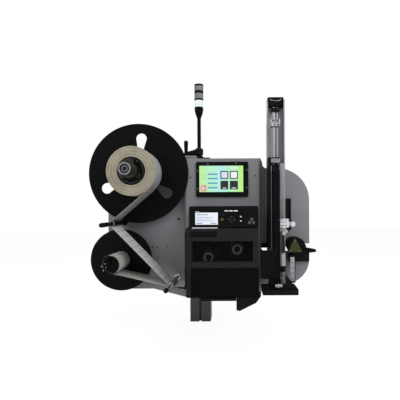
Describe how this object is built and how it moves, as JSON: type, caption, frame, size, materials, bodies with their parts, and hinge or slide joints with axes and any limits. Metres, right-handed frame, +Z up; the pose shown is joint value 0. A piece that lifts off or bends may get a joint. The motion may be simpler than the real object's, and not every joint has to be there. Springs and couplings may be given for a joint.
{
  "type": "automatic labeler",
  "caption": "Print and apply labelling head on a lift column, with label unwind, liner rewind, thermal transfer print engine, touch screen, signal lamp and vertical tamp applicator.",
  "frame": {"origin": "centre of the lower end face of the stand column", "axes": "+Z up along the column, +X to the operator's right, -Y towards the operator who faces the print engine"},
  "size_m": [0.8, 0.426, 0.942],
  "materials": {
    "painted_grey": "light grey textured powder coat",
    "black_anodised": "black anodised aluminium",
    "natural_aluminium": "natural anodised aluminium",
    "ground_steel": "ground and polished steel",
    "black_steel": "black powder-coated steel sheet",
    "black_plastic": "black moulded ABS",
    "gloss_black": "gloss black polycarbonate",
    "grey_cabinet": "grey powder-coated steel sheet",
    "label_paper": "glassine label web, wound",
    "liner_paper": "bare glassine liner",
    "grey_core": "grey paper core",
    "rubber_black": "black nitrile rubber",
    "screen_glass": "lit screen behind flat glass",
    "display_glass": "lit display behind flat glass",
    "smoked_window": "smoked polycarbonate",
    "lamp_lens": "fluted lens plastic",
    "chrome_clip": "chromed steel wire",
    "white_plastic": "white acetal",
    "machined_aluminium": "machined aluminium"
  },
  "bodies": {
    "stand": {"stand_column": "natural_aluminium", "column_cap": "black_anodised", "lamp_pole": "black_plastic", "lamp_lenses": "lamp_lens", "lamp_rings": "black_plastic"},
    "crank": {"lift_spindle": "ground_steel", "crank_arm": "black_steel"},
    "grip": {"crank_grip": "black_plastic"},
    "head": {"carriage": "machined_aluminium", "main_plate": "painted_grey", "front_cover": "painted_grey", "hmi_housing": "black_plastic", "hmi_screen": "screen_glass", "rear_cabinet": "grey_cabinet", "unwind_brake": "black_anodised", "rewind_gearmotor": "black_anodised", "guide_shafts": "black_anodised", "label_web": "label_paper", "liner_web": "liner_paper", "engine_frame": "black_steel", "engine_casing": "black_plastic", "control_panel": "gloss_black", "panel_display": "display_glass", "outfeed_guard": "black_steel", "applicator_column": "natural_aluminium", "applicator_cap": "black_plastic", "slide_unit": "black_anodised", "cable_duct": "black_plastic", "valve_block": "white_plastic", "vacuum_unit": "black_plastic", "adjust_rail": "black_anodised", "assist_bracket": "natural_aluminium"},
    "supply": {"supply_shaft": "ground_steel", "supply_disc": "black_plastic", "supply_mandrel": "black_plastic", "supply_knob": "black_plastic", "supply_core": "grey_core", "label_roll": "label_paper"},
    "rewind": {"rewind_mandrel": "black_anodised", "rewind_disc": "black_plastic", "rewind_roll": "grey_core", "rewind_clip": "chrome_clip"},
    "upper_roller": {"guide_roller_upper": "black_anodised"},
    "lower_roller": {"guide_roller_lower": "ground_steel"},
    "door": {"engine_door": "black_plastic", "door_window": "smoked_window"},
    "ribbon_supply": {"ribbon_supply_spool": "grey_core"},
    "ribbon_rewind": {"ribbon_rewind_spool": "grey_core"},
    "platen": {"platen_roller": "rubber_black"},
    "print_head": {"print_head": "black_anodised"},
    "head_lever": {"head_lever": "black_plastic"},
    "arrow_key": {"arrow_key": "rubber_black"},
    "line_key": {"line_key": "rubber_black"},
    "feed_key": {"feed_key": "rubber_black"},
    "tamp": {"tamp_rods": "ground_steel", "tamp_yoke": "black_anodised", "tamp_pad": "black_plastic", "tamp_buffer": "ground_steel"},
    "clamp_lever": {"clamp_lever": "black_plastic"},
    "regulator_knob": {"regulator_knob": "white_plastic"}
  },
  "joints": [
    {"name": "crank_turn", "type": "hinge", "parent": "stand", "child": "crank", "pos_m": [0, -0.062, 0.655], "axis": [0, 0, 1], "range_deg": [-1440, 0]},
    {"name": "grip_spin", "type": "hinge", "parent": "crank", "child": "grip", "pos_m": [-0.05, -0.062, 0.68], "axis": [0, 0, 1], "continuous": true},
    {"name": "head_lift", "type": "slide", "parent": "stand", "child": "head", "axis": [0, 0, 1], "range_m": [-0.04, 0]},
    {"name": "supply_spin", "type": "hinge", "parent": "head", "child": "supply", "pos_m": [-0.208, -0.2, 0.568], "axis": [0, 1, 0], "continuous": true},
    {"name": "rewind_spin", "type": "hinge", "parent": "head", "child": "rewind", "pos_m": [-0.271, -0.2, 0.259], "axis": [0, 1, 0], "continuous": true},
    {"name": "upper_roller_spin", "type": "hinge", "parent": "head", "child": "upper_roller", "pos_m": [-0.272, -0.2, 0.392], "axis": [0, 1, 0], "continuous": true},
    {"name": "lower_roller_spin", "type": "hinge", "parent": "head", "child": "lower_roller", "pos_m": [-0.076, -0.2, 0.19], "axis": [0, 1, 0], "continuous": true},
    {"name": "door_swing", "type": "hinge", "parent": "head", "child": "door", "pos_m": [-0.0185, -0.337, 0.28], "axis": [0, 0, 1], "range_deg": [-100, 0]},
    {"name": "ribbon_supply_spin", "type": "hinge", "parent": "head", "child": "ribbon_supply", "pos_m": [0.143, -0.24, 0.31], "axis": [0, 1, 0], "continuous": true},
    {"name": "ribbon_rewind_spin", "type": "hinge", "parent": "head", "child": "ribbon_rewind", "pos_m": [0.051, -0.24, 0.285], "axis": [0, 1, 0], "continuous": true},
    {"name": "platen_spin", "type": "hinge", "parent": "head", "child": "platen", "pos_m": [0.19, -0.22, 0.1754], "axis": [0, 1, 0], "continuous": true},
    {"name": "print_head_lift", "type": "hinge", "parent": "head", "child": "print_head", "pos_m": [0.06, -0.22, 0.207], "axis": [0, 1, 0], "range_deg": [-8, 0]},
    {"name": "head_lever_turn", "type": "hinge", "parent": "head", "child": "head_lever", "pos_m": [0.12, -0.285, 0.229], "axis": [0, 1, 0], "range_deg": [-80, 0]},
    {"name": "arrow_key_press", "type": "slide", "parent": "head", "child": "arrow_key", "axis": [0, 1, 0], "range_m": [0, 0.0008], "stiffness_N_per_m": 500},
    {"name": "line_key_press", "type": "slide", "parent": "head", "child": "line_key", "axis": [0, 1, 0], "range_m": [0, 0.0008], "stiffness_N_per_m": 200},
    {"name": "feed_key_press", "type": "slide", "parent": "head", "child": "feed_key", "axis": [0, 1, 0], "range_m": [0, 0.0008], "stiffness_N_per_m": 200},
    {"name": "tamp_stroke", "type": "slide", "parent": "head", "child": "tamp", "axis": [0, 0, 1], "range_m": [-0.105, 0]},
    {"name": "clamp_lever_turn", "type": "hinge", "parent": "head", "child": "clamp_lever", "pos_m": [0.388, -0.22, 0.2965], "axis": [0, 1, 0], "range_deg": [-90, 0]},
    {"name": "regulator_turn", "type": "hinge", "parent": "head", "child": "regulator_knob", "pos_m": [0.341, -0.185, 0.384], "axis": [0, 1, 0], "range_deg": [-135, 135]}
  ],
  "couplings": [
    {"joint": "crank_turn", "follows": "head_lift", "rad_per_m": 628.31},
    {"joint": "upper_roller_spin", "follows": "supply_spin", "ratio": -10.375},
    {"joint": "lower_roller_spin", "follows": "supply_spin", "ratio": -11.857},
    {"joint": "platen_spin", "follows": "supply_spin", "ratio": 12.769},
    {"joint": "rewind_spin", "follows": "supply_spin", "ratio": 2.6774},
    {"joint": "ribbon_supply_spin", "follows": "supply_spin", "ratio": 3.7727},
    {"joint": "ribbon_rewind_spin", "follows": "supply_spin", "ratio": 3.7727},
    {"joint": "print_head_lift", "follows": "head_lever_turn", "ratio": 0.1}
  ]
}
